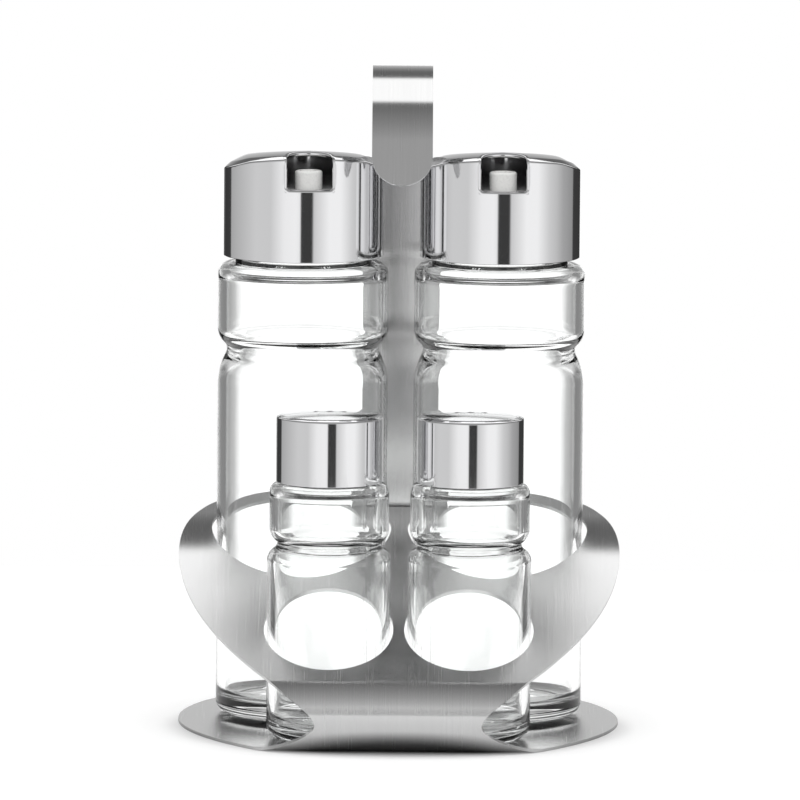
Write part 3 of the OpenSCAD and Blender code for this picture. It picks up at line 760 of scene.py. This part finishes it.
def polished_steel():
    """Polished pressed steel with faint upright polishing marks."""
    material, tree, skin = new_material("polished_cap_steel")
    marks = noise(tree, (1500, 1500, 60), Detail=3.0)
    skin.inputs["Base Color"].default_value = (0.81, 0.81, 0.82, 1)
    skin.inputs["Metallic"].default_value = 1.0
    tree.links.new(spread(tree, marks, 0.04, 0.10), skin.inputs["Roughness"])
    roughen(tree, skin, marks, 0.03, 0.02)
    return material


def clear_glass():
    """Pressed clear glass with a faint waviness."""
    material, tree, skin = new_material("clear_pressed_glass")
    wave = noise(tree, (60, 60, 22), Detail=2.0)
    skin.inputs["Base Color"].default_value = (0.985, 0.99, 0.988, 1)
    skin.inputs["Transmission Weight"].default_value = 1.0
    skin.inputs["IOR"].default_value = 1.5
    skin.inputs["Roughness"].default_value = 0.0
    roughen(tree, skin, wave, 0.12, 0.4)
    return material


def moulded_plastic(name, colour, rough, grain_scale):
    """Plastic or rubber with a fine moulded grain, a little lighter on the raised grain."""
    material, tree, skin = new_material(name)
    grain = noise(tree, (grain_scale,) * 3, Detail=3.0)
    shade = node(tree, "ShaderNodeMix", {"Factor": grain}, data_type="RGBA")
    shade.inputs["A"].default_value = (*[c * 0.94 for c in colour], 1)
    shade.inputs["B"].default_value = (*[min(c * 1.05, 1) for c in colour], 1)
    tree.links.new(shade.outputs["Result"], skin.inputs["Base Color"])
    tree.links.new(spread(tree, grain, rough * 0.8, rough * 1.25), skin.inputs["Roughness"])
    roughen(tree, skin, grain, 0.15, 0.05)
    return material


def finish_with(piece, material):
    piece.data.materials.clear()
    piece.data.materials.append(material)


# The set
SHEET_STEEL = brushed_sheet_steel()
CAP_STEEL = polished_steel()
GLASS = clear_glass()
GREY = moulded_plastic("grey_moulded_plastic", (0.48, 0.48, 0.485), 0.42, 2200)
WHITE = moulded_plastic("white_moulded_plastic", (0.93, 0.93, 0.91), 0.28, 1500)
SEAL = moulded_plastic("pale_seal_rubber", (0.62, 0.62, 0.60), 0.6, 3000)

finish_with(make_stand(), SHEET_STEEL)
for who in ("oil", "vinegar"):
    for piece in make_glass(who, who + "_bottle", BOTTLE_PROFILE, SIDE[who] * BOTTLE_X, BOTTLE_Y,
                            BOTTLE_NECK, who + "_bottle_body"):
        finish_with(piece, GLASS)
    for piece in make_pour_cap(who):
        finish_with(piece, CAP_STEEL)
    finish_with(make_spout(who), WHITE)
for who in ("salt", "pepper"):
    for piece in make_glass(who, who + "_jar", JAR_PROFILE, SIDE[who] * JAR_X, JAR_Y,
                            JAR_NECK, who + "_jar_body"):
        finish_with(piece, GLASS)
    finish_with(make_sprinkle_cap(who), CAP_STEEL)
for name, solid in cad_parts.items():
    if name.endswith("_cap_insert"):
        finish_with(solid, GREY)
    elif name.endswith("_seal_ring"):
        finish_with(solid, SEAL)


# Floor, light and camera
def make_floor():
    """A pale floor that shows white to the camera and through glass; it keeps the shadow, deepened
    by a painted shadow round the set, and reflections see painted shade under it.
    """
    # the floor's grey, and the painted shade grey that reflections see under the set
    grey, mirrored_shade_grey = 0.80, 0.12
    seen_glow, mirrored_glow = 0.38, 0.12
    # the size of the painted shadow round the set, in millimetres
    shadow_x, shadow_y = 72, 64
    deselect()
    bpy.ops.mesh.primitive_plane_add(size=1, location=(0, 0, 0))
    floor = bpy.context.object
    floor.name = "pale_floor"
    bpy.ops.object.mode_set(mode="EDIT")
    bpy.ops.transform.resize(value=(0.7, 0.9, 1), center_override=(0, 0, 0))
    bpy.ops.transform.translate(value=(0, -0.1, 0))
    bpy.ops.object.mode_set(mode="OBJECT")

    material, tree, skin = new_material("pale_floor")
    skin.inputs["Roughness"].default_value = 0.9
    skin.inputs["Specular IOR Level"].default_value = 0.1
    path = node(tree, "ShaderNodeLightPath").outputs
    seen = maths(tree, "MAXIMUM", path["Is Camera Ray"], path["Is Transmission Ray"])
    glow = maths(tree, "ADD", maths(tree, "MULTIPLY", path["Is Glossy Ray"], mirrored_glow),
                 maths(tree, "MULTIPLY", seen_glow, seen))
    # the white glow of the floor fades out under the set, a painted shadow laid over the real one
    # there
    place = stretched(tree, (1 / MM / shadow_x, 1 / MM / shadow_y, 1))
    away = node(tree, "ShaderNodeVectorMath", {0: place}, operation="LENGTH").outputs["Value"]
    clear = clamped(tree, away, 0.88, 1.09, interpolation_type="SMOOTHSTEP")
    # painted shade for reflections: mirrored rays see the floor painted dark under the set, so the
    # rolled fold mirrors a dark band
    gap = maths(tree, "MULTIPLY_ADD", clear, grey - mirrored_shade_grey, mirrored_shade_grey)
    tree.links.new(blend(tree, path["Is Glossy Ray"], grey, gap), skin.inputs["Base Color"])
    skin.inputs["Emission Color"].default_value = (1, 1, 1, 1)
    tree.links.new(maths(tree, "MULTIPLY", glow, clear), skin.inputs["Emission Strength"])
    floor.data.materials.append(material)


def light_by_turn(tree, value, start, end, peak, stops):
    """Lights through stops of (degrees, light), where a value of 0..1 stands for start..end
    degrees. A colour ramp holds no more than 1, so it is given the lights as shares of peak."""
    made = node(tree, "ShaderNodeValToRGB", {"Fac": value})
    elements = made.color_ramp.elements
    while len(elements) < len(stops):
        elements.new(0.5)
    for element, (degrees, light) in zip(elements, stops):
        element.position = (degrees - start) / (end - start)
        element.color = (light / peak, light / peak, light / peak, 1)
    return maths(tree, "MULTIPLY", made.outputs["Color"], peak)


def make_studio():
    """A plain studio: pale screens round the set, soft panels overhead, dark gaps between."""
    world = bpy.data.worlds.new("studio")
    bpy.context.scene.world = world
    world.use_nodes = True
    tree = world.node_tree
    tree.nodes.clear()
    way = node(tree, "ShaderNodeTexCoord").outputs["Generated"]
    axes = node(tree, "ShaderNodeSeparateXYZ", {0: way}).outputs
    x, y, z = axes["X"], axes["Y"], axes["Z"]
    front = maths(tree, "MULTIPLY", y, -1.0)
    across = maths(tree, "ABSOLUTE", x)

    # the screens round the set, by the turn from the front (0), right to the back (180)
    turn = maths(tree, "DIVIDE", maths(tree, "ARCTAN2", x, front), 2 * math.pi)
    screens = light_by_turn(tree, maths(tree, "ADD", turn, 0.5), -180, 180, 1.2, [
        (-180, 1.12), (-165, 1.12), (-162, 0.04), (-158, 0.05), (-156, 0.16), (-153, 0.04),
        (-128.5, 0.05), (-127, 0.45), (-98, 0.58), (-72, 0.71), (-48, 0.70), (-37, 0.86),
        (-27, 1.0), (-10, 1.04), (-4.5, 0.98), (-3, 0.05), (13, 0.05), (15, 0.70), (25, 0.85),
        (38, 1.05), (55, 1.05), (75, 0.72), (88, 0.61), (102, 0.44), (127, 0.32),
        (128.5, 0.05), (162, 0.04), (165, 1.12), (180, 1.12)])

    # the panels over the set, by the tilt at which a surface mirrors them to the front: 0 is
    # low behind the set, 45 overhead, 90 low in front. The view comes from a rise of 0.126.
    rise = maths(tree, "ADD", z, 0.126)
    tilt = maths(tree, "ARCTAN2", maths(tree, "ADD", front, 1.0), rise)
    panels = light_by_turn(tree, maths(tree, "DIVIDE", tilt, math.pi), 0, 180, 1.4, [
        (0, 0.6), (2.5, 0.58), (6.4, 0.45), (10.4, 0.3), (15.4, 0.15), (23.7, 0.13),
        (24.5, 1.4), (31, 1.4), (33, 0.17), (38, 0.19), (51, 0.29), (61, 0.39), (71, 0.54),
        (81, 0.75), (92, 0.87), (104, 0.75), (112, 0.3), (122, 0.04), (180, 0.04)])
    aside = maths(tree, "DIVIDE", across, maths(tree, "MAXIMUM", z, 0.01))
    wide = node(tree, "ShaderNodeMapRange", {"Value": aside, "From Min": 1.8, "From Max": 3.0,
                "To Min": 1.0, "To Max": 0.3}).outputs["Result"]
    panels = maths(tree, "MULTIPLY", panels, wide)

    # level rays meet the screens, and steeper ones the panels, which reach lower at the back
    steep = clamped(tree, maths(tree, "ABSOLUTE", z), 0.22, 0.38)
    behind = maths(tree, "MULTIPLY", clamped(tree, z, 0.06, 0.12),
                   maths(tree, "GREATER_THAN", y, 0.5))
    studio = blend(tree, maths(tree, "MAXIMUM", steep, behind), screens, panels)

    # the white backdrop through glass, by the turn from the back (0) to the front (180)
    beside = maths(tree, "DIVIDE", maths(tree, "ARCTAN2", across, y), math.pi)
    backdrop = light_by_turn(tree, beside, 0, 180, 1.3, [
        (0, 1.25), (8, 1.25), (12, 0.6), (20, 0.32), (46, 0.24), (60, 0.5), (90, 0.6),
        (180, 0.8)])
    backdrop = blend(tree, steep, backdrop, maths(tree, "MAXIMUM", panels, 0.9))

    # soft even light from above and the front for plain surfaces
    soft = maths(tree, "MULTIPLY_ADD", maths(tree, "MAXIMUM", z, 0.0), 1.2, 0.15)
    soft = maths(tree, "MULTIPLY_ADD", maths(tree, "MAXIMUM", front, 0.0), 0.3, soft)

    path = node(tree, "ShaderNodeLightPath").outputs
    light = blend(tree, path["Is Diffuse Ray"], studio, soft)
    light = blend(tree, path["Is Transmission Ray"], light, backdrop)
    light = blend(tree, path["Is Camera Ray"], light, 1.0)
    background = node(tree, "ShaderNodeBackground", {"Color": light})
    out = node(tree, "ShaderNodeOutputWorld")
    tree.links.new(background.outputs[0], out.inputs["Surface"])


def make_camera():
    """The photograph's view: from far away, a little above the set. The lens and the shift come
    from lengths in the photograph's pixels."""
    distance, height, pitch, roll = 3.113, 0.498, 7.241, 0.45
    picture_px, lens_px, shift_px = 800, 9699, -0.5
    sensor, framing = 36.0, 1.002
    data = bpy.data.cameras.new("camera")
    camera = bpy.data.objects.new("camera", data)
    bpy.context.scene.collection.objects.link(camera)
    data.sensor_width = sensor
    data.lens = lens_px / picture_px * sensor * framing
    data.shift_x = shift_px / picture_px
    data.clip_end = 50
    camera.location = (0, BOTTLE_Y * MM - distance, height)
    look = Matrix.Rotation(math.radians(90 - pitch), 3, "X")
    lean = Matrix.Rotation(math.radians(roll), 3, "Z")
    camera.rotation_euler = (look @ lean).to_euler()
    bpy.context.scene.camera = camera


make_floor()
make_studio()
make_camera()
bpy.context.scene.view_settings.view_transform = "Standard"
